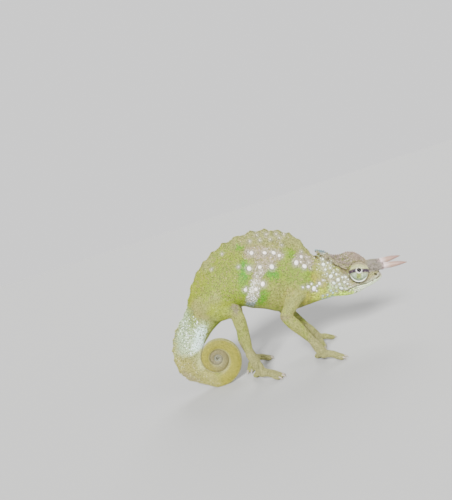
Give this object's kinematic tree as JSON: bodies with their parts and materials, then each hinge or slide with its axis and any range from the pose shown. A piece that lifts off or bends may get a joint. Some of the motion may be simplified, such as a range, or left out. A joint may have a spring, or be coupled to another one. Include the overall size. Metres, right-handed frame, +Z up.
{
  "type": "cameroon sailfin chameleon",
  "caption": "Male chameleon, museum model: ringed snout horns, low casque, lobed crest along back and tail, slim legs with mitten feet, and a tightly coiled tail it rests on.",
  "frame": {"origin": "middle of the outline seen from above, on the floor that the feet and the tail's coil stand on", "axes": "+X towards the snout, +Y towards the animal's left side, +Z up"},
  "size_m": [0.1008, 0.0296, 0.057],
  "materials": {
    "skin": "matt, finely scaled",
    "tail_skin": "matt, finely scaled",
    "horn": "smooth horn with a low sheen",
    "eye": "wet gloss"
  },
  "bodies": {
    "root": {"head": "skin", "lower_jaw": "skin", "neck": "skin", "torso_front": "skin", "torso_rear": "skin", "sail_front": "skin", "sail_rear": "skin", "sail_tail": "skin", "tail_base": "skin", "tail_side": "skin", "tail_underside": "tail_skin", "tail_turn": "tail_skin", "tail_coil": "tail_skin", "eye_turret_right": "skin", "eye_turret_left": "skin", "eye_right": "eye", "eye_left": "eye", "horn_right": "horn", "horn_left": "horn", "upper_arm_right": "skin", "upper_arm_left": "skin", "forearm_right": "skin", "forearm_left": "skin", "fore_foot_right": "skin", "fore_foot_left": "skin", "thigh_right": "skin", "thigh_left": "skin", "shank_right": "skin", "shank_left": "skin", "hind_foot_right": "skin", "hind_foot_left": "skin"}
  },
  "joints": []
}
